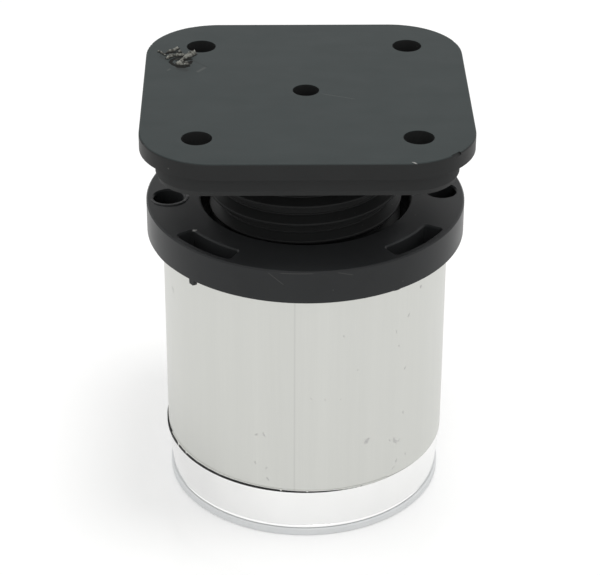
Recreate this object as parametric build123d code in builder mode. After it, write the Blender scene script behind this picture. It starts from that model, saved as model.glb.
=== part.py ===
from build123d import *
from math import cos, radians, sin, tan
import os

# Furniture foot: a top plate with a threaded stud, screwed into a tube that stands on a glide.
# Millimetres, floor at Z = 0, the tube's axis on Z, the plate's sides along X and Y.

# Glide and ring at the floor
glide_height = 1.75
glide_play = 0.05
glide_edge = 0.25
glide_inset = 0.45
ring_height = 9.7
ring_draft = 5.3
ring_lip_width = 4.5
ring_lip_thickness = 1.5
ring_edge = 0.3

# Tube
tube_diameter = 60.0
tube_wall = 1.5
tube_length = 48.2
saw_slant = 1.15
saw_high_side = 165.0

# Plug in the tube's lower end and the peg that holds the glide
plug_reach = 12.0
plug_wall = 2.4
plug_floor = 2.5
shoulder_span = 270.0
shoulder_overhang = 0.1
peg_diameter = 10.0
peg_bore_diameter = 5.6
peg_head = 0.9
peg_head_height = 3.0
peg_slit = 1.6
peg_clearance = 0.3

# Insert in the tube's upper end
flange_overhang = 3.3
flange_thickness = 7.15
mouth_clearance = 1.7
mouth_depth = 6.0
barrel_wall = 3.4
barrel_length = 15.0
sleeve_length = 15.0
sleeve_wall = 2.0
web_count = 6
web_thickness = 1.8
slot_count = 4
slot_rim = 1.5
slot_width = 3.9
slot_span = 26.5
slot_corner = 0.7
pocket_depth = 5.0
pocket_edge = 0.3
spanner_hole_diameter = 6.3
spanner_inset = 4.7
insert_turn = 2.2
press_clearance = 0.05

# Thread between the stud and the insert
thread_diameter = 40.0
thread_pitch = 4.0
thread_depth = thread_pitch / 2
crest_width = 0.15 * thread_pitch
flank_angle = 25.0
thread_clearance = 0.3
thread_neck = 0.6
ridge_root = 0.4
front_crest_drop = 0.7

# Plate and stud
plate_overhang = 0.1
plate_corner = 15.0
rim_thickness = 3.4
rim_edge = 0.35
slab_inset = 3.2
slab_corner = 10.0
slab_thickness = 5.25
slab_taper = 0.5
slab_taper_height = 1.2
plate_gap = 15.2
stud_length = 33.55
stud_wall = 3.0
plate_web = 4.1
skirt_wall = 2.6
rib_thickness = 2.2
boss_wall = 2.6
screw_spacing = 43.7
screw_hole_diameter = 6.16
centre_hole_diameter = 5.45
chip_direction = -46.0
chip_length = 2.4
chip_radius = 0.55

# Heights and radii that follow
tube_radius = tube_diameter / 2
tube_bore_radius = tube_radius - tube_wall
ring_bottom = glide_height + glide_play
ring_top = ring_bottom + ring_height
tube_top = ring_top + tube_length
flange_top = tube_top + flange_thickness
slab_bottom = flange_top + plate_gap
rim_bottom = slab_bottom + slab_thickness
plate_top = rim_bottom + rim_thickness
stud_bottom = slab_bottom - stud_length
barrel_bottom = tube_top - barrel_length
mouth_floor = flange_top - mouth_depth
flange_radius = tube_radius + flange_overhang
plate_side = 2 * (flange_radius + plate_overhang)
slab_side = plate_side - 2 * slab_inset
crest_radius = thread_diameter / 2
root_radius = crest_radius - thread_depth
fitted_radius = tube_bore_radius - press_clearance

def thread_ridge(tip_radius, tip_width, foot_radius, low, high, front_height):
    """Right-hand thread ridge between two heights, with square ends and a wider foot.

    Its corners are four helices, and its sides are ruled strips from one helix to the next.
    At the front, 270 degrees round from X, its middle passes through front_height.
    """
    foot_width = tip_width + 2 * abs(tip_radius - foot_radius) * tan(radians(flank_angle))
    middle = low + thread_neck + foot_width / 2
    rise = high - low - 2 * thread_neck - foot_width
    section = (
        (foot_radius, -foot_width / 2),
        (tip_radius, -tip_width / 2),
        (tip_radius, tip_width / 2),
        (foot_radius, foot_width / 2),
    )
    corners = [Helix(thread_pitch, rise, radius, center=(0, 0, middle + lift)).edge() for radius, lift in section]
    sides = [Face.make_surface_from_curves(a, b) for a, b in zip(corners, corners[1:] + corners[:1])]
    ends = [Face(Wire.make_polygon([corner @ end for corner in corners])) for end in (0, 1)]
    ridge = Solid(Shell(sides + ends))
    return ridge.rotate(Axis.Z, 270 + 360 * (middle - front_height) / thread_pitch)


os.makedirs("parts", exist_ok=True)

# Floor glide: a disc with broken edges and a split snap peg in the middle
plug_floor_bottom = ring_bottom + ring_lip_thickness
plug_floor_top = plug_floor_bottom + plug_floor
peg_radius = peg_diameter / 2
head_bottom = plug_floor_top + peg_clearance
peg_top = head_bottom + peg_head_height
with BuildPart() as floor_glide:
    with BuildSketch():
        Circle(tube_radius - glide_inset)
    extrude(amount=glide_height)
    chamfer(floor_glide.edges().filter_by(GeomType.CIRCLE), glide_edge)
    with BuildSketch(Plane.XZ):
        with BuildLine():
            Polyline(
                (0, glide_height / 2),
                (peg_radius, glide_height / 2),
                (peg_radius, head_bottom),
                (peg_radius + peg_head, head_bottom),
                (peg_radius + peg_head, head_bottom + peg_head_height / 3),
                (peg_radius - peg_head, peg_top),
                (0, peg_top),
                close=True,
            )
        make_face()
    revolve(axis=Axis.Z)
    with BuildSketch(Plane.XY.offset(peg_top)):
        Circle(peg_bore_diameter / 2)
        Rectangle(tube_radius, peg_slit)
        Rectangle(peg_slit, tube_radius)
    extrude(amount=-(peg_top - glide_height), mode=Mode.SUBTRACT)
floor_glide.part.label = "floor_glide"
export_step(floor_glide.part, "parts/floor_glide.step")

# Base ring: a polished ring that narrows to the floor, with a lip turned in under the plug
with BuildPart() as base_ring:
    with BuildSketch(Plane.XY.offset(ring_top)):
        Circle(tube_radius)
    extrude(amount=-ring_height, taper=ring_draft)
    with BuildSketch(Plane.XY.offset(plug_floor_bottom)):
        Circle(tube_bore_radius)
    extrude(amount=ring_height, mode=Mode.SUBTRACT)
    with BuildSketch(Plane.XY.offset(ring_bottom)):
        Circle(tube_bore_radius - ring_lip_width)
    extrude(amount=ring_lip_thickness, mode=Mode.SUBTRACT)
    lower_edges = base_ring.edges().filter_by(GeomType.CIRCLE).group_by(Axis.Z)[0]
    chamfer(lower_edges.sort_by(SortBy.RADIUS)[-1], ring_edge)
base_ring.part.label = "base_ring"
export_step(base_ring.part, "parts/base_ring.step")

# Base plug: a cup that fills the ring and the tube's lower end, with a hole for the glide's peg.
# Its wedge-shaped shoulder fills the gap under the slanted end of the tube.
saw_uphill = Vector(cos(radians(saw_high_side)), sin(radians(saw_high_side)), 0)
saw_plane = Plane(
    origin=(0, 0, ring_top + saw_slant / 2),
    z_dir=Vector(0, 0, 1) - saw_uphill * (saw_slant / tube_diameter),
)
shoulder_start = saw_high_side - shoulder_span / 2
with BuildPart() as shoulder:
    with BuildSketch(Plane.XY.offset(ring_top)):
        with BuildLine():
            inner_arc = CenterArc((0, 0), fitted_radius - plug_wall / 2, shoulder_start, shoulder_span)
            outer_arc = CenterArc((0, 0), tube_radius + shoulder_overhang, shoulder_start, shoulder_span)
            Line(inner_arc @ 0, outer_arc @ 0)
            Line(inner_arc @ 1, outer_arc @ 1)
        make_face()
    extrude(amount=2 * saw_slant)
    split(bisect_by=saw_plane.offset(-press_clearance), keep=Keep.BOTTOM)
plug_top = ring_top + plug_reach
with BuildPart() as base_plug:
    with BuildSketch(Plane.XY.offset(plug_floor_bottom)):
        Circle(fitted_radius)
    extrude(amount=plug_top - plug_floor_bottom)
    with BuildSketch(Plane.XY.offset(plug_floor_top)):
        Circle(fitted_radius - plug_wall)
    extrude(amount=plug_top - plug_floor_top, mode=Mode.SUBTRACT)
    with BuildSketch(Plane.XY.offset(plug_floor_bottom)):
        Circle(peg_radius + peg_clearance)
    extrude(amount=plug_floor, mode=Mode.SUBTRACT)
    rim_outside = base_plug.edges().filter_by(GeomType.CIRCLE).group_by(Axis.Z)[-1].sort_by(SortBy.RADIUS)[-1]
    chamfer(rim_outside, plug_wall / 3)
    add(shoulder.part)
base_plug.part.label = "base_plug"
export_step(base_plug.part, "parts/base_plug.step")

# Leg tube: its lower end is sawn out of square, so it meets the ring on one side only
with BuildPart() as leg_tube:
    with BuildSketch(Plane.XY.offset(tube_top)):
        Circle(tube_radius)
        Circle(tube_bore_radius, mode=Mode.SUBTRACT)
    extrude(amount=-(tube_length + saw_slant))
    split(bisect_by=saw_plane, keep=Keep.TOP)
leg_tube.part.label = "leg_tube"
export_step(leg_tube.part, "parts/leg_tube.step")

# Top insert: flange, threaded barrel and sleeve in one moulding
groove_radius = crest_radius + thread_clearance
barrel_radius = groove_radius + barrel_wall
ridge_front = flange_top - front_crest_drop
tooth_tip_radius = root_radius + thread_clearance
tooth_tip_width = (
    thread_pitch
    - crest_width
    - 2 * (crest_radius - tooth_tip_radius) * tan(radians(flank_angle))
    - 2 * thread_clearance
)
tooth = thread_ridge(
    tooth_tip_radius,
    tooth_tip_width,
    groove_radius + ridge_root,
    barrel_bottom,
    mouth_floor,
    ridge_front + thread_pitch / 2,
)
slot_outer_radius = flange_radius - slot_rim
slot_inner_radius = slot_outer_radius - slot_width
with BuildSketch() as slot_outline:
    with BuildLine():
        inner_side = CenterArc((0, 0), slot_inner_radius, -slot_span / 2, slot_span)
        outer_side = CenterArc((0, 0), slot_outer_radius, -slot_span / 2, slot_span)
        Line(inner_side @ 0, outer_side @ 0)
        Line(inner_side @ 1, outer_side @ 1)
    make_face()
    fillet(slot_outline.vertices(), slot_corner)
with BuildPart() as top_insert:
    with BuildSketch(Plane.XY.offset(tube_top)):
        Circle(flange_radius)
    extrude(amount=flange_thickness)
    with BuildSketch(Plane.XY.offset(flange_top)):
        Circle(groove_radius + mouth_clearance)
    extrude(amount=-mouth_depth, mode=Mode.SUBTRACT)
    with BuildSketch(Plane.XY.offset(flange_top)):
        with PolarLocations(0, slot_count, start_angle=insert_turn + 180 / slot_count):
            add(slot_outline.sketch)
        with PolarLocations(flange_radius - spanner_inset, 2, start_angle=insert_turn):
            Circle(spanner_hole_diameter / 2)
    extrude(amount=-pocket_depth, mode=Mode.SUBTRACT)
    chamfer(top_insert.edges().group_by(Axis.Z)[-1], pocket_edge)
    with BuildSketch(Plane.XY.offset(tube_top)):
        Circle(fitted_radius)
        Circle(fitted_radius - sleeve_wall, mode=Mode.SUBTRACT)
        with PolarLocations(0, web_count // 2, angular_range=180):
            Rectangle(2 * fitted_radius - sleeve_wall, web_thickness)
    extrude(amount=-sleeve_length)
    with BuildSketch(Plane.XY.offset(tube_top)):
        Circle(barrel_radius)
    extrude(amount=-barrel_length)
    with BuildSketch(Plane.XY.offset(barrel_bottom)):
        Circle(groove_radius)
    extrude(amount=mouth_floor - barrel_bottom, mode=Mode.SUBTRACT)
    add(tooth)
top_insert.part.label = "top_insert"
export_step(top_insert.part, "parts/top_insert.step")

# Mounting plate: stepped plate and hollow threaded stud in one moulding
stud_ridge = thread_ridge(
    crest_radius,
    crest_width,
    root_radius - ridge_root,
    stud_bottom,
    slab_bottom,
    ridge_front,
)
corner_centre = plate_side / 2 - plate_corner
outwards = Vector(cos(radians(chip_direction)), sin(radians(chip_direction)), 0)
chipped_edge = Plane(
    origin=Vector(corner_centre, -corner_centre, plate_top) + outwards * plate_corner,
    x_dir=outwards,
    z_dir=outwards.rotate(Axis.Z, 90),
)
with BuildPart() as mounting_plate:
    with BuildSketch(Plane.XY.offset(slab_bottom)):
        RectangleRounded(slab_side, slab_side, slab_corner)
    extrude(amount=slab_thickness)
    slab_underside = mounting_plate.faces().sort_by(Axis.Z)[0]
    chamfer(slab_underside.edges(), slab_taper, slab_taper_height, reference=slab_underside)
    with BuildSketch(Plane.XY.offset(rim_bottom)):
        RectangleRounded(plate_side, plate_side, plate_corner)
    extrude(amount=rim_thickness)
    fillet(mounting_plate.edges().group_by(Axis.Z)[-1], rim_edge)
    with BuildSketch(Plane.XY.offset(stud_bottom)):
        Circle(root_radius)
    extrude(amount=stud_length)
    add(stud_ridge)
    # Pockets in the underside leave a skirt, ribs to the stud and a boss round each screw hole
    with BuildSketch(Plane.XY.offset(slab_bottom)):
        RectangleRounded(slab_side - 2 * skirt_wall, slab_side - 2 * skirt_wall, slab_corner - skirt_wall)
        Circle(root_radius + ridge_root, mode=Mode.SUBTRACT)
        with GridLocations(screw_spacing, screw_spacing, 2, 2):
            Circle(screw_hole_diameter / 2 + boss_wall, mode=Mode.SUBTRACT)
        Rectangle(slab_side, rib_thickness, mode=Mode.SUBTRACT)
        Rectangle(rib_thickness, slab_side, mode=Mode.SUBTRACT)
    extrude(amount=slab_thickness, mode=Mode.SUBTRACT)
    with BuildSketch(Plane.XY.offset(stud_bottom)):
        Circle(root_radius - stud_wall)
    extrude(amount=plate_top - plate_web - stud_bottom, mode=Mode.SUBTRACT)
    with BuildSketch(Plane.XY.offset(plate_top)):
        with GridLocations(screw_spacing, screw_spacing, 2, 2):
            Circle(screw_hole_diameter / 2)
        Circle(centre_hole_diameter / 2)
    extrude(amount=-(rim_thickness + slab_thickness), mode=Mode.SUBTRACT)
    # A chip is knocked out of the upper edge at the front right corner
    with BuildSketch(chipped_edge):
        Circle(chip_radius)
    extrude(amount=chip_length / 2, both=True, mode=Mode.SUBTRACT)
mounting_plate.part.label = "mounting_plate"
export_step(mounting_plate.part, "parts/mounting_plate.step")
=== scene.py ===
import bpy
import numpy as np
from mathutils import Matrix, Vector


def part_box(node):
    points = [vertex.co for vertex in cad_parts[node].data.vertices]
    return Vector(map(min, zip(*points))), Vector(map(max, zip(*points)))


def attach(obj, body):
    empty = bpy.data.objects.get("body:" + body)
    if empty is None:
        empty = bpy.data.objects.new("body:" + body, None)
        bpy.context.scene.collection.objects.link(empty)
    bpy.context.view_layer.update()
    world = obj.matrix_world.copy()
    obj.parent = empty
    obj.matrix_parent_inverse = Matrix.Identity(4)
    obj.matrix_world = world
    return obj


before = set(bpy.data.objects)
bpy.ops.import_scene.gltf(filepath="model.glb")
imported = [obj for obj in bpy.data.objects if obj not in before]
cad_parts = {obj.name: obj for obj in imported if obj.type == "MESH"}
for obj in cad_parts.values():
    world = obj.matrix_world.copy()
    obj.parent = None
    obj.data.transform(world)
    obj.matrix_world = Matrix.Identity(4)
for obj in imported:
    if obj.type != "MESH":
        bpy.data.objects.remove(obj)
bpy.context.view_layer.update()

# Floor glide: a disc of light grey plastic that the foot stands on.
# It is moulded in one piece and snaps into the plug above it by a split peg.
mm = 0.001


def add_node(tree, kind, settings=None, **sockets):
    """Adds a shader node and fills its sockets: another node's socket is linked, a plain value is set."""
    made = tree.nodes.new("ShaderNode" + kind)
    for name, value in (settings or {}).items():
        setattr(made, name, value)
    for name, value in sockets.items():
        fill_socket(tree, made.inputs[name.replace("_", " ")], value)
    return made


def fill_socket(tree, socket, value):
    """Links the socket to another socket, or sets its value."""
    if isinstance(value, bpy.types.NodeSocket):
        tree.links.new(value, socket)
    else:
        socket.default_value = value


def calculate(tree, operation, *values, clamp=False):
    """Adds a Math node on one to three values or sockets, and gives its result."""
    made = add_node(tree, "Math", {"operation": operation, "use_clamp": clamp})
    for socket, value in zip(made.inputs, values):
        fill_socket(tree, socket, value)
    return made.outputs[0]


def mix_colours(tree, share, first, second):
    """Adds a colour mix that goes from the first colour to the second as share goes from 0 to 1."""
    made = add_node(tree, "Mix", {"data_type": "RGBA"})
    fill_socket(tree, made.inputs[0], share)
    fill_socket(tree, made.inputs[6], first)
    fill_socket(tree, made.inputs[7], second)
    return made.outputs[2]


def fit_range(tree, value, low, high):
    """Adds a Map Range node from 0..1 to low..high."""
    return add_node(tree, "MapRange", Value=value, To_Min=low, To_Max=high).outputs[0]


def new_finish(name):
    """New material with one Principled shader: gives it, its tree, the shader and Object coordinates."""
    finish = bpy.data.materials.new(name)
    finish.use_nodes = True
    tree = finish.node_tree
    shader = tree.nodes["Principled BSDF"]
    place = add_node(tree, "TexCoord").outputs["Object"]
    return finish, tree, shader, place


def new_group(name, inputs, outputs):
    """New shader node group from pairs of socket name and kind: gives its tree and its two end nodes."""
    tree = bpy.data.node_groups.new(name, "ShaderNodeTree")
    for direction, sockets in (("INPUT", inputs), ("OUTPUT", outputs)):
        for socket_name, kind in sockets:
            tree.interface.new_socket(socket_name, in_out=direction, socket_type="NodeSocket" + kind)
    return tree, tree.nodes.new("NodeGroupInput"), tree.nodes.new("NodeGroupOutput")


def use_group(tree, group, **sockets):
    """Places a node group in a material with its own values."""
    made = tree.nodes.new("ShaderNodeGroup")
    made.node_tree = group
    for name, value in sockets.items():
        fill_socket(tree, made.inputs[name.replace("_", " ")], value)
    return made.outputs


# Skin of a moulding: a fine grain from the tool and slow clouding where the plastic flowed.
moulded_skin, given, result = new_group(
    "moulded skin",
    [("Place", "Vector"), ("Grain size", "Float"), ("Cloud size", "Float")],
    [("Grain", "Float"), ("Clouding", "Float")],
)
for measure, output, detail in (("Grain size", "Grain", 3.0), ("Cloud size", "Clouding", 4.0)):
    fineness = calculate(moulded_skin, "DIVIDE", 1.0, given.outputs[measure])
    noise = add_node(moulded_skin, "TexNoise", Vector=given.outputs["Place"], Scale=fineness, Detail=detail)
    moulded_skin.links.new(noise.outputs[0], result.inputs[output])


def dress(node, finish):
    """Gives a CAD node its finish."""
    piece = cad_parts[node]
    piece.data.materials.clear()
    piece.data.materials.append(finish)


glide_finish, tree, shader, place = new_finish("light grey glide plastic")
skin = use_group(tree, moulded_skin, Place=place, Grain_size=0.25 * mm, Cloud_size=9 * mm)
glide_colour = mix_colours(tree, skin["Clouding"], (0.76, 0.775, 0.78, 1), (0.84, 0.855, 0.86, 1))
fill_socket(tree, shader.inputs["Base Color"], glide_colour)
fill_socket(tree, shader.inputs["Roughness"], fit_range(tree, skin["Clouding"], 0.36, 0.5))
glide_bump = add_node(tree, "Bump", Height=skin["Grain"], Strength=0.2, Distance=0.02 * mm)
fill_socket(tree, shader.inputs["Normal"], glide_bump.outputs[0])
dress("floor_glide", glide_finish)

# Base ring: a polished metal ring round the foot of the plug, flush with the tube above it.
# It is turned from thick tube and narrows a little to the floor, and its lip holds it under the plug.
ring_finish, tree, shader, place = new_finish("polished ring metal")
turned_place = add_node(tree, "Mapping", Vector=place, Scale=(40, 40, 9000))
turning_lines = add_node(tree, "TexNoise", Vector=turned_place.outputs[0], Scale=1.0, Detail=2.0).outputs[0]
smears = add_node(tree, "TexNoise", Vector=place, Scale=1 / (7 * mm), Detail=4.0).outputs[0]
ring_colour = mix_colours(tree, smears, (0.86, 0.86, 0.855, 1), (0.92, 0.92, 0.915, 1))
fill_socket(tree, shader.inputs["Base Color"], ring_colour)
fill_socket(tree, shader.inputs["Roughness"], fit_range(tree, smears, 0.1, 0.2))
shader.inputs["Metallic"].default_value = 1.0
ring_bump = add_node(tree, "Bump", Height=turning_lines, Strength=0.15, Distance=0.004 * mm)
fill_socket(tree, shader.inputs["Normal"], ring_bump.outputs[0])
dress("base_ring", ring_finish)

# Base plug: a black plastic cup pressed into the tube's lower end.
# Only its wall shows, as the black line in the gap that the slanted saw cut leaves above the ring.
plug_finish, tree, shader, place = new_finish("black plug plastic")
skin = use_group(tree, moulded_skin, Place=place, Grain_size=0.3 * mm, Cloud_size=8 * mm)
plug_colour = mix_colours(tree, skin["Clouding"], (0.008, 0.008, 0.008, 1), (0.014, 0.014, 0.014, 1))
fill_socket(tree, shader.inputs["Base Color"], plug_colour)
fill_socket(tree, shader.inputs["Roughness"], fit_range(tree, skin["Clouding"], 0.5, 0.65))
shader.inputs["Specular IOR Level"].default_value = 0.25
plug_bump = add_node(tree, "Bump", Height=skin["Grain"], Strength=0.3, Distance=0.02 * mm)
fill_socket(tree, shader.inputs["Normal"], plug_bump.outputs[0])
dress("base_plug", plug_finish)

# Leg tube: satin aluminium, drawn and then brushed along its length.
# It is sawn to length a little out of square, and it carries dried specks of dirt.
tube_radius = 30 * mm

# A straight mark such as a scratch: it lies on the X axis of the given place, from 0 to its length.
line_mark, given, result = new_group(
    "line mark",
    [("Place", "Vector"), ("Length", "Float"), ("Width", "Float")],
    [("Mark", "Float")],
)
axes = add_node(line_mark, "SeparateXYZ", Vector=given.outputs["Place"]).outputs
half_width = calculate(line_mark, "MULTIPLY", given.outputs["Width"], 0.5)
from_line = calculate(line_mark, "DIVIDE", calculate(line_mark, "ABSOLUTE", axes[1]), half_width)
across = calculate(line_mark, "SUBTRACT", 1.0, from_line, clamp=True)
along_share = calculate(line_mark, "DIVIDE", axes[0], given.outputs["Length"])
from_middle = calculate(line_mark, "ABSOLUTE", calculate(line_mark, "SUBTRACT", along_share, 0.5))
near_end = calculate(line_mark, "MULTIPLY", from_middle, 2.0)
inside_ends = calculate(line_mark, "SUBTRACT", 1.0, near_end, clamp=True)
along = calculate(line_mark, "MULTIPLY", inside_ends, 6.0, clamp=True)
outside = calculate(line_mark, "GREATER_THAN", axes[2], 0.0)
mark = calculate(line_mark, "MULTIPLY", calculate(line_mark, "MULTIPLY", across, along), outside)
line_mark.links.new(mark, result.inputs["Mark"])


def mark_at(tree, place, start, along, outwards, length, width):
    """Line mark that starts at a point and runs along a direction, on the side that faces outwards."""
    along, outwards = (np.asarray(v, float) / np.linalg.norm(v) for v in (along, outwards))
    turn = Matrix((along, np.cross(outwards, along), outwards)).transposed().to_euler()
    placing = {"Vector": place, "Location": start, "Rotation": turn}
    moved = add_node(tree, "Mapping", {"vector_type": "TEXTURE"}, **placing)
    return use_group(tree, line_mark, Place=moved.outputs[0], Length=length, Width=width)["Mark"]


tube_finish, tree, shader, place = new_finish("satin tube aluminium")
brushed_place = add_node(tree, "Mapping", Vector=place, Scale=(5000, 5000, 70))
brushing = add_node(tree, "TexNoise", Vector=brushed_place.outputs[0], Scale=1.0, Detail=3.0).outputs[0]
drawn_place = add_node(tree, "Mapping", Vector=place, Scale=(260, 260, 4))
drawing = add_node(tree, "TexNoise", Vector=drawn_place.outputs[0], Scale=1.0, Detail=3.0).outputs[0]
line_angle = np.radians(265)
line_side = np.array([np.cos(line_angle), np.sin(line_angle), 0])
line_start = tuple(line_side * tube_radius * 0.5)
line_length = 90 * mm
line_width = 0.5 * mm
drawn_line = mark_at(tree, place, line_start, (0, 0, 1), line_side, line_length, line_width)
brushed_tone = calculate(tree, "MULTIPLY", brushing, 0.35)
drawn_tone = calculate(tree, "MULTIPLY", drawing, 0.65)
tube_tone = calculate(tree, "ADD", brushed_tone, drawn_tone)
satin = mix_colours(tree, tube_tone, (0.57, 0.575, 0.55, 1), (0.665, 0.67, 0.64, 1))
line_share = calculate(tree, "MULTIPLY", drawn_line, 0.35)
tube_colour = mix_colours(tree, line_share, satin, (0.42, 0.42, 0.41, 1))
fill_socket(tree, shader.inputs["Base Color"], tube_colour)
fill_socket(tree, shader.inputs["Roughness"], fit_range(tree, tube_tone, 0.3, 0.46))
shader.inputs["Metallic"].default_value = 1.0
tube_bump = add_node(tree, "Bump", Height=brushing, Strength=0.25, Distance=0.006 * mm)
fill_socket(tree, shader.inputs["Normal"], tube_bump.outputs[0])
dress("leg_tube", tube_finish)

# Saw burr: a ragged fringe of the tube's own metal, left by the saw along its lower end.
# It breaks the black line above the ring in places at the left and the front, and closes it at the right.


def add_skin(name, rings, finish, body):
    """Closed mesh through rows of points: each row is a loop, and fans close the first and the last."""
    rows, around, _ = rings.shape
    points = np.concatenate([rings.reshape(-1, 3), rings[[0, -1]].mean(axis=1)])
    here = np.arange(rows * around).reshape(rows, around)
    beside = np.roll(here, -1, axis=1)
    quads = np.stack([here[:-1], beside[:-1], beside[1:], here[1:]], axis=-1).reshape(-1, 4)
    first_fan = np.stack([beside[0], here[0], np.full(around, rows * around)], axis=-1)
    last_fan = np.stack([here[-1], beside[-1], np.full(around, rows * around + 1)], axis=-1)
    mesh = bpy.data.meshes.new(name)
    mesh.from_pydata(points.tolist(), [], quads.tolist() + first_fan.tolist() + last_fan.tolist())
    mesh.shade_smooth()
    mesh.materials.append(finish)
    piece = bpy.data.objects.new(name, mesh)
    bpy.context.scene.collection.objects.link(piece)
    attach(piece, body)
    return piece


def ripple(seed, *places, waves=7, finest=1.0):
    """Smooth noise round 0, mostly within 1: a sum of sines of set direction, wave length and phase."""
    draw = np.random.default_rng(seed)
    total = 0
    for wave in range(waves):
        swing = sum(place * draw.normal() for place in places)
        total = total + np.sin(swing * finest * (wave + 1) / waves * 2 * np.pi + draw.uniform(0, 2 * np.pi))
    return total / waves ** 0.5


def round_axis(reach, angle, level):
    """Points from their distance to the foot's upright axis, their angle round it and their height."""
    return np.stack(np.broadcast_arrays(reach * np.cos(angle), reach * np.sin(angle), level), axis=-1)


ring_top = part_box("base_ring")[1].z
saw_slant = 1.15 * mm
saw_high_side = np.radians(165)
burr_thickness = 0.2 * mm
burr_proud = 0.12 * mm
burr_overlap = 0.15 * mm
# Breaks of the line: angle round the tube and half width, both in degrees, and share of the gap filled
line_breaks = (
    (198, 0.45, 0.5),
    (204.2, 0.6, 0.95),
    (211.3, 0.5, 0.45),
    (259.6, 0.3, 0.8),
    (270.2, 0.3, 0.7),
)
burr_turn = np.linspace(196, 305, 680)
burr_angle = np.radians(burr_turn)
saw_gap = saw_slant * (1 + np.cos(burr_angle - saw_high_side)) / 2
breaks = sum(share * np.exp(-(((burr_turn - centre) / half) ** 2)) for centre, half, share in line_breaks)
closing = np.clip((burr_turn - 280) / 14, 0, 1) * (1.1 + 0.5 * ripple(5, burr_turn, finest=0.9))
edge_share = np.interp(burr_turn, (203, 209, 235, 258), (0.02, 0.2, 0.18, 0.0))
ragged_edge = edge_share * (1 + 0.3 * ripple(9, burr_turn, finest=0.6))
fringe = np.clip(ragged_edge + breaks + closing, 0.02, 1.0)
fringe_end = ring_top + saw_gap * (1 - fringe)
fringe_start = ring_top + saw_gap + burr_overlap
burr_outer = tube_radius + burr_proud
burr_inner = burr_outer - burr_thickness
burr_reach = np.array([burr_outer, burr_outer, burr_inner, burr_inner])
burr_level = np.stack([fringe_start, fringe_end, fringe_end, fringe_start], axis=1)
burr_rows = round_axis(burr_reach, burr_angle[:, None], burr_level)
add_skin("saw_burr", burr_rows, tube_finish, "leg")

# Edge burr of the ring: the polishing wheel rolled a fine bead of its metal over the lower front edge.
# The wheel also burnished the bead, so it shows as a bright line.


def taper(count, power):
    """From a blunt end to 1 in the middle and back, as half a sine wave raised to a power."""
    return np.sin(np.linspace(0.01, np.pi - 0.01, count)) ** power


bead_finish, tree, shader, place = new_finish("burnished ring edge")
bead_smears = add_node(tree, "TexNoise", Vector=place, Scale=1 / (2 * mm), Detail=3.0).outputs[0]
shader.inputs["Base Color"].default_value = (0.98, 0.98, 0.975, 1)
shader.inputs["Metallic"].default_value = 1.0
fill_socket(tree, shader.inputs["Roughness"], fit_range(tree, bead_smears, 0.08, 0.22))
ring_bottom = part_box("base_ring")[0].z
ring_foot = tube_radius - 0.9 * mm
bead_radius = 0.34 * mm
bead_sunk = 0.08 * mm
bead_lift = 0.36 * mm
bead_steps = 240
bead_angle = np.radians(np.linspace(205, 330, bead_steps))[:, None]
bead_round = np.linspace(0, 2 * np.pi, 14, endpoint=False)[None, :]
bead_swell = bead_radius * taper(bead_steps, 0.3)[:, None]
bead_reach = ring_foot - bead_sunk + bead_swell * np.cos(bead_round)
bead_level = ring_bottom + bead_lift + bead_swell * np.sin(bead_round)
bead_rows = round_axis(bead_reach, bead_angle, bead_level)
add_skin("ring_edge_bead", bead_rows[:, ::-1], bead_finish, "leg")

# Plug lip: the plug's shoulder, of the same black plastic, bulges out of the wide side of the saw gap.
# It was squeezed there when the tube was pressed on, and shows as the line's start at the tube's outline.
shoulder_steps = 160
shoulder_angle = np.radians(np.linspace(126, 203, shoulder_steps))
shoulder_gap = saw_slant * (1 + np.cos(shoulder_angle - saw_high_side)) / 2
shoulder_clear = 0.06 * mm
bulge = tube_radius + 0.28 * mm * taper(shoulder_steps, 0.2)
behind = np.full(shoulder_steps, tube_radius - 0.1 * mm)
shoulder_low = np.full(shoulder_steps, ring_top + shoulder_clear)
shoulder_high = ring_top + shoulder_gap - shoulder_clear
shoulder_reach = np.stack([bulge, bulge, behind, behind], axis=1)
shoulder_level = np.stack([shoulder_high, shoulder_low, shoulder_low, shoulder_high], axis=1)
shoulder_rows = round_axis(shoulder_reach, shoulder_angle[:, None], shoulder_level)
add_skin("plug_lip", shoulder_rows, plug_finish, "leg")

# Specks: drops of dirt dried on the tube, most of them on its right side, as thin flat blots that lean.
# Each has its angle round the tube in degrees, and its height and width in millimetres.
speck_finish, tree, shader, place = new_finish("dried dirt")
dirt = add_node(tree, "TexNoise", Vector=place, Scale=1 / (0.4 * mm), Detail=3.0).outputs[0]
dirt_colour = mix_colours(tree, dirt, (0.53, 0.53, 0.515, 1), (0.65, 0.65, 0.63, 1))
fill_socket(tree, shader.inputs["Base Color"], dirt_colour)
fill_socket(tree, shader.inputs["Roughness"], fit_range(tree, dirt, 0.6, 0.8))
specks = np.array([
    (249.3, 24.9, 0.45), (252.7, 25.3, 0.6), (248.8, 18.0, 0.45), (253.5, 17.0, 0.4), (254.3, 14.3, 0.65),
    (294.9, 22.6, 0.8), (312.7, 26.2, 0.5), (308.6, 20.0, 0.9), (308.0, 13.3, 0.45), (271.5, 35.0, 0.3),
    (277.0, 34.6, 0.35), (283.4, 34.4, 0.3), (202.2, 50.4, 0.6), (290.3, 40.8, 0.35), (284.3, 49.5, 0.35),
    (308.0, 47.1, 0.45), (314.4, 49.8, 0.5), (309.3, 43.5, 0.4), (313.0, 37.3, 0.5), (321.5, 54.9, 0.4),
    (306.0, 20.8, 0.4), (310.9, 19.8, 0.4), (314.7, 15.4, 0.45), (309.6, 14.8, 0.45),
])
speck_rim = np.linspace(0, 2 * np.pi, 14, endpoint=False)
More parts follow.
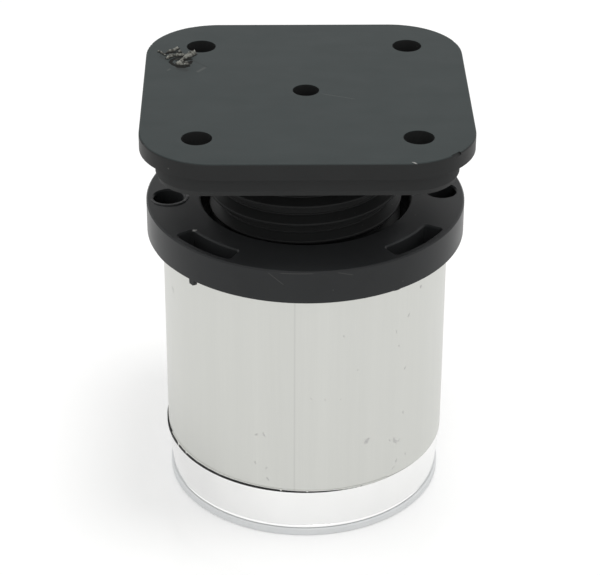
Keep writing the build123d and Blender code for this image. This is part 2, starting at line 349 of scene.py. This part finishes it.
# Layers of a blot from the tube outwards: share of its outline and millimetres proud of the tube
speck_layers = np.array([(0.05, -0.02), (1.0, -0.02), (0.9, 0.012), (0.05, 0.016)])
for number, (angle, height, width) in enumerate(specks):
    outline = 0.65 * width * (1 + 0.5 * ripple(20 + number, np.cos(speck_rim), np.sin(speck_rim), waves=4))
    share, proud = speck_layers[:, :1], speck_layers[:, 1:]
    upwards = (height + 1.2 * share * outline * np.sin(speck_rim)) * mm
    smeared = 0.8 * share * outline * (np.cos(speck_rim) + np.cos(2.4 * number) * np.sin(speck_rim))
    sideways = np.radians(angle) + smeared * mm / tube_radius
    reach = tube_radius + proud * mm
    blot = round_axis(reach, sideways, upwards)
    add_skin(f"tube_speck_{number + 1:02d}", blot, speck_finish, "leg")

# Top insert: a black plastic moulding that caps the tube and holds the stud in its threaded barrel.
# Its flange has blind arc slots and two spanner holes, and its edge is scuffed from handling.
flange_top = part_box("top_insert")[1].z
flange_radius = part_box("top_insert")[1].x

# Dust: specks strewn over a surface, each in a cell of its own. Only some cells have one.
dust, given, result = new_group(
    "dust",
    [("Place", "Vector"), ("Spacing", "Float"), ("Share", "Float"), ("Size", "Float")],
    [("Specks", "Float")],
)
closeness = calculate(dust, "DIVIDE", 1.0, given.outputs["Spacing"])
cells = add_node(dust, "TexVoronoi", Vector=given.outputs["Place"], Scale=closeness)
draws = add_node(dust, "SeparateColor", Color=cells.outputs["Color"]).outputs
has_speck = calculate(dust, "LESS_THAN", draws[0], given.outputs["Share"])
speck_size = calculate(dust, "MULTIPLY", given.outputs["Size"], calculate(dust, "ADD", draws[1], 0.3))
from_centre = calculate(dust, "DIVIDE", cells.outputs["Distance"], speck_size)
inside = calculate(dust, "SUBTRACT", 1.0, from_centre, clamp=True)
soft_speck = calculate(dust, "MULTIPLY", calculate(dust, "MULTIPLY", inside, 2.0, clamp=True), has_speck)
dust.links.new(soft_speck, result.inputs["Specks"])


def black_plastic(name, dark, light, roughness, gloss, dust_share):
    """Black moulded plastic with grain, clouding and dust: gives what new_finish gives, and its colour."""
    finish, tree, shader, place = new_finish(name)
    skin = use_group(tree, moulded_skin, Place=place, Grain_size=0.3 * mm, Cloud_size=6 * mm)
    specks = use_group(tree, dust, Place=place, Spacing=1.6 * mm, Share=dust_share, Size=0.11)["Specks"]
    body_colour = mix_colours(tree, skin["Clouding"], dark, light)
    grain_share = calculate(tree, "MULTIPLY", skin["Grain"], 0.35)
    grained = mix_colours(tree, grain_share, body_colour, (0.03, 0.032, 0.032, 1))
    dust_cover = calculate(tree, "MULTIPLY", specks, 0.5)
    dusted = mix_colours(tree, dust_cover, grained, (0.13, 0.13, 0.12, 1))
    fill_socket(tree, shader.inputs["Roughness"], fit_range(tree, skin["Clouding"], *roughness))
    shader.inputs["Specular IOR Level"].default_value = gloss
    bump = add_node(tree, "Bump", Height=skin["Grain"], Strength=0.3, Distance=0.02 * mm)
    fill_socket(tree, shader.inputs["Normal"], bump.outputs[0])
    return finish, tree, shader, place, dusted


insert_finish, tree, shader, place, insert_colour = black_plastic(
    "black insert plastic", (0.0235, 0.0245, 0.0255, 1), (0.032, 0.0335, 0.035, 1), (0.28, 0.38), 0.14, 0.10
)
scuff_and_highlight_tone = (0.16, 0.16, 0.15, 1)
# Marks on the flange's edge: two scuffs, and first a nearly level pale line along its top edge that is a
# painted highlight. Columns: angle round the flange, millimetres below its top, lean in degrees and length
for angle, depth, lean, length in ((260, 0.45, 1, 7.0), (256, 0.5, -38, 4.2), (280, 0.4, -16, 3.4)):
    side = np.array([np.cos(np.radians(angle)), np.sin(np.radians(angle)), 0])
    tangent = np.array([-side[1], side[0], 0])
    run = tangent * np.cos(np.radians(lean)) + np.array([0, 0, np.sin(np.radians(lean))])
    start = side * flange_radius * 0.9 + np.array([0, 0, flange_top - depth * mm])
    scuff_and_highlight = mark_at(tree, place, tuple(start), run, side, length * mm, 0.25 * mm)
    scuff_and_highlight_share = calculate(tree, "MULTIPLY", scuff_and_highlight, 0.28)
    insert_colour = mix_colours(tree, scuff_and_highlight_share, insert_colour, scuff_and_highlight_tone)
# A pale spot on the rim of the left slot: a painted highlight
slot_glint_start = (-23.3 * mm, -15.75 * mm, flange_top - 0.25 * mm)
painted_slot_glint = mark_at(tree, place, slot_glint_start, (1, 0, 0), (0, 0, 1), 1.0 * mm, 0.7 * mm)
insert_colour = mix_colours(tree, painted_slot_glint, insert_colour, (0.3, 0.3, 0.29, 1))
fill_socket(tree, shader.inputs["Base Color"], insert_colour)
dress("top_insert", insert_finish)

# Flash round the left spanner hole: a thin raised lip of the insert's plastic on the near side of the hole.
# It was squeezed out of the tool's joint and never trimmed.
hole_angle = np.radians(182.2)
hole_distance = 28.6 * mm
hole_centre = np.array([np.cos(hole_angle), np.sin(hole_angle)]) * hole_distance
hole_radius = 3.15 * mm
lip_offset = 0.35 * mm
lip_width = 0.85 * mm
lip_height = 0.16 * mm
lip_sink = 0.12 * mm
lip_corner = 0.45


def squared(wave, power):
    """A sine or cosine wave pushed towards its ends by a power, which squares the outline that it makes."""
    return np.sign(wave) * np.abs(wave) ** power


lip_steps = 90
lip_turn = np.radians(np.linspace(-168, 22, lip_steps))[:, None]
lip_swell = taper(lip_steps, 0.35)[:, None] * (1 + 0.08 * ripple(3, lip_turn, finest=3.0))
lip_round = np.linspace(0, 2 * np.pi, 16, endpoint=False)[None, :]
lip_across = squared(np.cos(lip_round), lip_corner)
lip_upwards = squared(np.sin(lip_round), lip_corner)
lip_reach = hole_radius + lip_offset + lip_width / 2 * (1 - lip_across * lip_swell)
lip_level = flange_top - lip_sink + (lip_height + lip_sink) * lip_swell * (1 + lip_upwards) / 2
lip_rows = round_axis(lip_reach, lip_turn, lip_level) + np.array([*hole_centre, 0])
add_skin("spanner_hole_flash", lip_rows, insert_finish, "leg")

# Gate nub: the stump of plastic where the insert was snapped off its runner.
# It hangs from the lower edge of the flange, at the front left.


def lump(size, steepest, rows, around, power, seed, rough):
    """Rough rounded block: a ball of sine and cosine waves, squared by a power, with ripples on it."""
    lift = np.radians(np.linspace(-steepest, steepest, rows))[:, None]
    turn = np.linspace(0, 2 * np.pi, around, endpoint=False)[None, :]
    ripples = 1 + rough * ripple(seed, np.cos(turn) * np.cos(lift), np.sin(turn), np.sin(lift))
    forwards = squared(np.cos(lift), power) * squared(np.cos(turn), power)
    sideways = squared(np.cos(lift), power) * squared(np.sin(turn), power)
    upwards = squared(np.sin(lift), power)
    return np.stack(np.broadcast_arrays(forwards, sideways, upwards), axis=-1) * size * ripples[..., None]


nub_turn = np.array(Matrix.Rotation(np.radians(225), 3, "Z"))
nub_size = np.array([0.55, 0.85, 0.95]) * mm
tube_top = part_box("leg_tube")[1].z
nub_centre = np.array([32.65 * mm, 0, tube_top - 0.45 * mm])
nub_block = lump(nub_size, steepest=88, rows=18, around=28, power=0.5, seed=8, rough=0.1)
nub_shape = nub_block + nub_centre
add_skin("flange_gate_nub", nub_shape @ nub_turn.T, insert_finish, "leg")

# Flash under the flange: slivers of plastic that hang from its lower edge, a long one at the left
# and a short one at the right. They crept into the joint of the tool, as round the spanner hole.
sliver_half = 0.09 * mm
sliver_inset = 0.12 * mm
sliver_drop = 0.06 * mm
sliver_steps = 60
sliver_round = np.linspace(0, 2 * np.pi, 14, endpoint=False)[None, :]
for side, first, last in (("left", 199, 215), ("right", 301.4, 304.4)):
    sliver_angle = np.radians(np.linspace(first, last, sliver_steps))[:, None]
    sliver_swell = sliver_half * taper(sliver_steps, 0.5)[:, None]
    sliver_reach = flange_radius - sliver_inset + sliver_swell * np.cos(sliver_round)
    sliver_level = tube_top - sliver_drop + 1.6 * sliver_swell * np.sin(sliver_round)
    sliver_rows = round_axis(sliver_reach, sliver_angle, sliver_level)
    add_skin(f"flange_flash_{side}", sliver_rows[:, ::-1], insert_finish, "leg")

# Mounting plate: the upper black plastic moulding, a stepped square plate with a threaded stud below.
# It is screwed to the furniture through its corner holes; its top is dull, dusty and lightly scratched.
plate_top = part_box("mounting_plate")[1].z
rim_bottom = plate_top - 3.5 * mm
slab_bottom = plate_top - 8.7 * mm
plate_finish, tree, shader, place, plate_colour = black_plastic(
    "black plate plastic", (0.019, 0.0195, 0.0195, 1), (0.026, 0.0265, 0.0265, 1), (0.38, 0.48), 0.12, 0.16
)
height = add_node(tree, "SeparateXYZ", Vector=place).outputs[2]
# The top face is painted paler and blue-green in streaks: a painted sheen standing for the cool light it
# reflects from above.
on_top = calculate(tree, "GREATER_THAN", height, plate_top - 0.1 * mm)
streaks_place = add_node(tree, "Mapping", Vector=place, Scale=(90, 240, 90))
streaks = add_node(tree, "TexNoise", Vector=streaks_place.outputs[0], Scale=1.0, Detail=5.0).outputs[0]
painted_top_sheen = mix_colours(tree, streaks, (0.0225, 0.0315, 0.0315, 1), (0.0365, 0.0465, 0.0465, 1))
painted_sheen_share = calculate(tree, "MULTIPLY", on_top, 0.85)
plate_colour = mix_colours(tree, painted_sheen_share, plate_colour, painted_top_sheen)
# Marks on the plate's top: start, end, width in millimetres, tone and share of the tone.
# They are a scratch, a pale smear and a fleck below the torn gate, a painted shadow just in front of the
# gate, and two stains round it.
plate_marks_and_shadow = (
    ((2.99, -1.6), (10.15, -4.36), 0.16, 0.2, 0.5),
    ((-22.5, 8.9), (-20.7, 11.4), 1.1, 0.12, 0.4),
    ((-28.7, 9.7), (-28.0, 10.7), 0.7, 0.12, 0.4),
    # Painted shadow of the torn gate's ridges
    ((-26.9, 11.4), (-24.2, 9.6), 2.2, 0.012, 0.6),
    ((-23.6, 14.9), (-20.2, 11.2), 0.7, 0.014, 0.5),
    ((-30.6, 17.0), (-29.0, 14.9), 0.9, 0.014, 0.5),
)
for mark_start, mark_end, width, tone, share in plate_marks_and_shadow:
    run = (*np.subtract(mark_end, mark_start), 0)
    start = (mark_start[0] * mm, mark_start[1] * mm, plate_top - 1 * mm)
    mark = mark_at(tree, place, start, run, (0, 0, 1), np.linalg.norm(run) * mm, width * mm)
    mark_share = calculate(tree, "MULTIPLY", mark, share)
    plate_colour = mix_colours(tree, mark_share, plate_colour, (tone, tone, 0.95 * tone, 1))
# The slab under the rim is painted paler, as painted light where the rim shades it, and it is duller than
# the top; the stud below it is painted darker, as painted shade under the plate.
under_rim = calculate(tree, "LESS_THAN", height, rim_bottom)
on_stud = calculate(tree, "LESS_THAN", height, slab_bottom)
on_slab = calculate(tree, "SUBTRACT", under_rim, on_stud)
slab_painted_light_share = calculate(tree, "MULTIPLY", on_slab, 0.6)
plate_colour = mix_colours(tree, slab_painted_light_share, plate_colour, (0.036, 0.037, 0.037, 1))
stud_painted_shade_share = calculate(tree, "MULTIPLY", on_stud, 0.2)
plate_colour = mix_colours(tree, stud_painted_shade_share, plate_colour, (0.008, 0.008, 0.008, 1))
fill_socket(tree, shader.inputs["Base Color"], plate_colour)
plate_skin = use_group(tree, moulded_skin, Place=place, Grain_size=0.3 * mm, Cloud_size=6 * mm)
slab_rougher = calculate(tree, "MULTIPLY", on_slab, 0.25)
plate_rough = calculate(tree, "ADD", fit_range(tree, plate_skin["Clouding"], 0.38, 0.48), slab_rougher)
fill_socket(tree, shader.inputs["Roughness"], plate_rough)
dress("mounting_plate", plate_finish)

# Thread edges: the stud's thread is moulded with a rounded crest and a small round step at its flank's foot.
# Both catch the light as fine lines. Each has its name, its distance from the axis, its lift over the crest,
# its depth and its half height, in millimetres.
thread_edges = (
    ("stud_thread_crest", 19.72, 0.0, 0.4, 0.42),
    ("stud_thread_step", 17.95, 1.45, 0.25, 0.2),
)
thread_pitch = 4 * mm
thread_start = 50.6 * mm
thread_end = 78.6 * mm
crest_front = flange_top - 0.7 * mm
edge_steps = 720
edge_level = np.linspace(thread_start, thread_end, edge_steps)[:, None]
edge_angle = np.radians(270) + 2 * np.pi * (edge_level - crest_front) / thread_pitch
edge_swell = np.clip(30 * taper(edge_steps, 1), 0, 1)[:, None]
edge_round = np.linspace(0, 2 * np.pi, 12, endpoint=False)[None, :]
for name, middle, lift, depth, half_height in thread_edges:
    reach = (middle + depth * edge_swell * np.cos(edge_round)) * mm
    level = edge_level + (lift + half_height * edge_swell * np.sin(edge_round)) * mm
    rows = round_axis(reach, edge_angle, level)
    add_skin(name, rows[:, ::-1], plate_finish, "plate")

# Torn gate: where the plate was twisted off its runner the plastic tore and stands up in ragged ridges.
# The torn plastic is paler than the moulded skin round it, and the gaps between the ridges are painted near
# black as shade.
torn_finish, tree, shader, place = new_finish("torn plastic")
tear = add_node(tree, "TexNoise", Vector=place, Scale=1 / (0.5 * mm), Detail=5.0).outputs[0]
rise = add_node(tree, "SeparateXYZ", Vector=place).outputs[2]
over_skin = calculate(tree, "SUBTRACT", rise, plate_top + 0.05 * mm)
ridge_share = calculate(tree, "DIVIDE", over_skin, 0.3 * mm, clamp=True)
tear_share = calculate(tree, "MULTIPLY", calculate(tree, "SUBTRACT", tear, 0.36), 3.5, clamp=True)
torn_tone = mix_colours(tree, tear_share, (0.07, 0.07, 0.06, 1), (0.32, 0.32, 0.29, 1))
# Low parts of the tear are painted near black: painted shade in the gaps between the ridges.
torn_colour_and_gap_shade = mix_colours(tree, ridge_share, (0.010, 0.010, 0.009, 1), torn_tone)
fill_socket(tree, shader.inputs["Base Color"], torn_colour_and_gap_shade)
fill_socket(tree, shader.inputs["Roughness"], fit_range(tree, tear, 0.6, 0.85))
shader.inputs["Specular IOR Level"].default_value = 0.1
tear_bump = add_node(tree, "Bump", Height=tear, Strength=0.6, Distance=0.08 * mm)
fill_socket(tree, shader.inputs["Normal"], tear_bump.outputs[0])
tear_centre = np.array([-27.1, 15.9])
tear_reach = np.array([4.9, 5.6])
tear_sink = 0.1
# Ridges of the tear on the plate's top: start, end, height and width, in millimetres
tear_ridges = (
    ((-28.9, 18.5), (-28.4, 19.2), 0.55, 0.36),
    ((-28.4, 19.2), (-27.7, 19.7), 0.6, 0.4),
    ((-27.7, 19.7), (-26.9, 20.7), 0.6, 0.38),
    ((-26.6, 19.0), (-26.3, 18.9), 0.5, 0.38),
    ((-28.8, 15.8), (-28.3, 16.6), 0.45, 0.42),
    ((-28.3, 16.6), (-27.7, 17.2), 0.55, 0.6),
    ((-27.7, 17.2), (-25.8, 17.4), 0.55, 0.65),
    ((-26.5, 12.5), (-25.9, 13.9), 0.55, 0.48),
    ((-25.9, 13.9), (-24.8, 16.6), 0.7, 0.52),
    ((-24.8, 16.6), (-23.5, 18.0), 0.75, 0.7),
    ((-23.5, 18.0), (-23.2, 19.0), 0.6, 0.42),
    ((-26.6, 13.3), (-25.9, 12.4), 0.5, 0.42),
    ((-25.9, 12.4), (-24.4, 12.7), 0.45, 0.38),
    ((-27.0, 15.3), (-25.9, 15.6), 0.25, 0.5),
    ((-25.4, 13.6), (-24.5, 13.9), 0.35, 0.5),
    ((-31.3, 20.3), (-30.8, 19.2), 0.4, 0.3),
    ((-30.2, 18.7), (-29.4, 17.5), 0.4, 0.32),
)
# Gaps between the ridges, torn down to the skin: start, end and width, in millimetres
tear_gaps = (
    ((-29.4, 18.1), (-28.6, 18.5), 0.4),
    ((-28.6, 18.5), (-27.0, 19.0), 0.38),
    ((-28.1, 14.2), (-27.8, 15.1), 0.5),
    ((-27.8, 15.1), (-27.2, 15.9), 0.42),
    ((-27.2, 15.9), (-25.9, 16.4), 0.4),
    ((-25.0, 15.0), (-23.9, 15.4), 0.5),
    ((-23.8, 14.4), (-24.0, 13.2), 0.45),
    ((-28.1, 13.8), (-27.4, 12.6), 0.48),
    ((-27.4, 12.6), (-26.5, 11.7), 0.45),
    ((-26.5, 11.7), (-25.2, 11.5), 0.6),
    ((-25.2, 11.5), (-24.3, 12.0), 0.5),
)


def bell(x, y, start, end, width):
    """From 1 on the line from start to end down to 0 beside it, as a bell over the distance from it."""
    start, end = np.array(start), np.array(end)
    run = end - start
    share = np.clip(((x - start[0]) * run[0] + (y - start[1]) * run[1]) / (run @ run), 0, 1)
    apart = np.hypot(x - start[0] - share * run[0], y - start[1] - share * run[1])
    return np.exp(-((apart / width) ** 2))


# The rows of the tear go out under the plate's skin and come back in over it.
rows_under = 4
rows_over = 76
tear_round = np.linspace(0, 2 * np.pi, 190, endpoint=False)[None, :]
tear_out = np.concatenate([np.linspace(0.02, 1, rows_under), np.linspace(0.985, 0.01, rows_over)])[:, None]
tear_x = tear_centre[0] + tear_reach[0] * tear_out * np.cos(tear_round)
tear_y = tear_centre[1] + tear_reach[1] * tear_out * np.sin(tear_round)
ridge_top = np.max([high * bell(tear_x, tear_y, a, b, wide) for a, b, high, wide in tear_ridges], axis=0)
gap_depth = np.max([bell(tear_x, tear_y, a, b, wide) for a, b, wide in tear_gaps], axis=0)
ragged = 1 + 0.35 * ripple(11, tear_x, tear_y, waves=9, finest=2.0)
gap_floor = 1.3 * tear_sink * np.clip(2.5 * gap_depth - 0.5, 0, 1)
tear_top = np.maximum(ridge_top * ragged * (1 - gap_depth), gap_floor) - tear_sink
is_under = np.arange(rows_under + rows_over)[:, None] < rows_under
tear_level = np.where(is_under, -3 * tear_sink, tear_top)
tear_rows = np.stack([tear_x * mm, tear_y * mm, plate_top + tear_level * mm], axis=-1)
add_skin("torn_gate", tear_rows, torn_finish, "plate")

# Nick: a knock across the plate's front edge that raised a thin slanted flake of the plate's own plastic.
# The plastic whitened where it was bruised.
nick_finish, tree, shader, place = new_finish("whitened plastic")
bruise = add_node(tree, "TexNoise", Vector=place, Scale=1 / (0.3 * mm), Detail=3.0).outputs[0]
nick_colour = mix_colours(tree, bruise, (0.16, 0.16, 0.155, 1), (0.4, 0.4, 0.385, 1))
fill_socket(tree, shader.inputs["Base Color"], nick_colour)
fill_socket(tree, shader.inputs["Roughness"], fit_range(tree, bruise, 0.55, 0.75))
nick_centre = np.array([20.3 * mm, -32.8 * mm, plate_top])
nick_size = np.array([0.68, 0.2, 0.07]) * mm
nick_turn = np.array(Matrix.Rotation(np.radians(-42), 3, "Z"))
nick_shape = lump(nick_size, steepest=85, rows=12, around=20, power=1.0, seed=14, rough=0.3)
add_skin("edge_nick", nick_shape @ nick_turn.T + nick_centre, nick_finish, "plate")

# Studio: a white, slightly glossy table, an even white surround and one soft lamp overhead.
# The camera stands in front of the foot and looks down on it.


def seen_directly(tree):
    """1 for a ray from the camera, off a gloss or through glass, and 0 for light that falls on things."""
    ray = add_node(tree, "LightPath").outputs
    looked_at = calculate(tree, "MAXIMUM", ray["Is Camera Ray"], ray["Is Glossy Ray"])
    return calculate(tree, "MAXIMUM", looked_at, ray["Is Transmission Ray"])


table_half = 1.5
table_mesh = bpy.data.meshes.new("table")
table_corners = [(x * table_half, y * table_half, 0) for x, y in ((-1, -1), (1, -1), (1, 1), (-1, 1))]
table_mesh.from_pydata(table_corners, [], [(0, 1, 2, 3)])
table = bpy.data.objects.new("table", table_mesh)
bpy.context.scene.collection.objects.link(table)
table_finish, tree, shader, place = new_finish("white table")
shader.inputs["Base Color"].default_value = (0.93, 0.93, 0.925, 1)
table_lift = calculate(tree, "MULTIPLY", seen_directly(tree), 0.165)
shader.inputs["Emission Color"].default_value = (1, 1, 1, 1)
fill_socket(tree, shader.inputs["Emission Strength"], table_lift)
shader.inputs["Roughness"].default_value = 0.14
shader.inputs["Specular IOR Level"].default_value = 0.3
table_mesh.materials.append(table_finish)

world = bpy.data.worlds.new("white surround")
bpy.context.scene.world = world
world.use_nodes = True
tree = world.node_tree
surround = tree.nodes["Background"]
surround.inputs["Color"].default_value = (1, 1, 1, 1)
surround_light = 0.80
surround_strength = fit_range(tree, seen_directly(tree), surround_light, 1.0)
fill_socket(tree, surround.inputs["Strength"], surround_strength)

lamp_data = bpy.data.lights.new("soft lamp", "AREA")
lamp_data.shape = "DISK"
lamp_data.size = 0.20
lamp_data.energy = 1.35
lamp = bpy.data.objects.new("soft lamp", lamp_data)
lamp.location = (0.08, -0.06, 0.8)
lamp.rotation_euler = lamp.location.to_track_quat("Z", "Y").to_euler()
bpy.context.scene.collection.objects.link(lamp)

camera_data = bpy.data.cameras.new("camera")
camera_data.lens = 138.66
camera_data.sensor_width = 36.0
camera_data.clip_start = 0.01
camera = bpy.data.objects.new("camera", camera_data)
camera_place = (-0.008644, -0.428748, 0.293301)
camera_heading, camera_pitch, camera_roll = np.radians([1.015, 30.169, 0.227])
camera.matrix_world = (
    Matrix.Translation(camera_place)
    @ Matrix.Rotation(-camera_heading, 4, "Z")
    @ Matrix.Rotation(np.pi / 2 - camera_pitch, 4, "X")
    @ Matrix.Rotation(camera_roll, 4, "Z")
)
bpy.context.scene.collection.objects.link(camera)
bpy.context.scene.camera = camera
bpy.context.scene.view_settings.view_transform = "Standard"
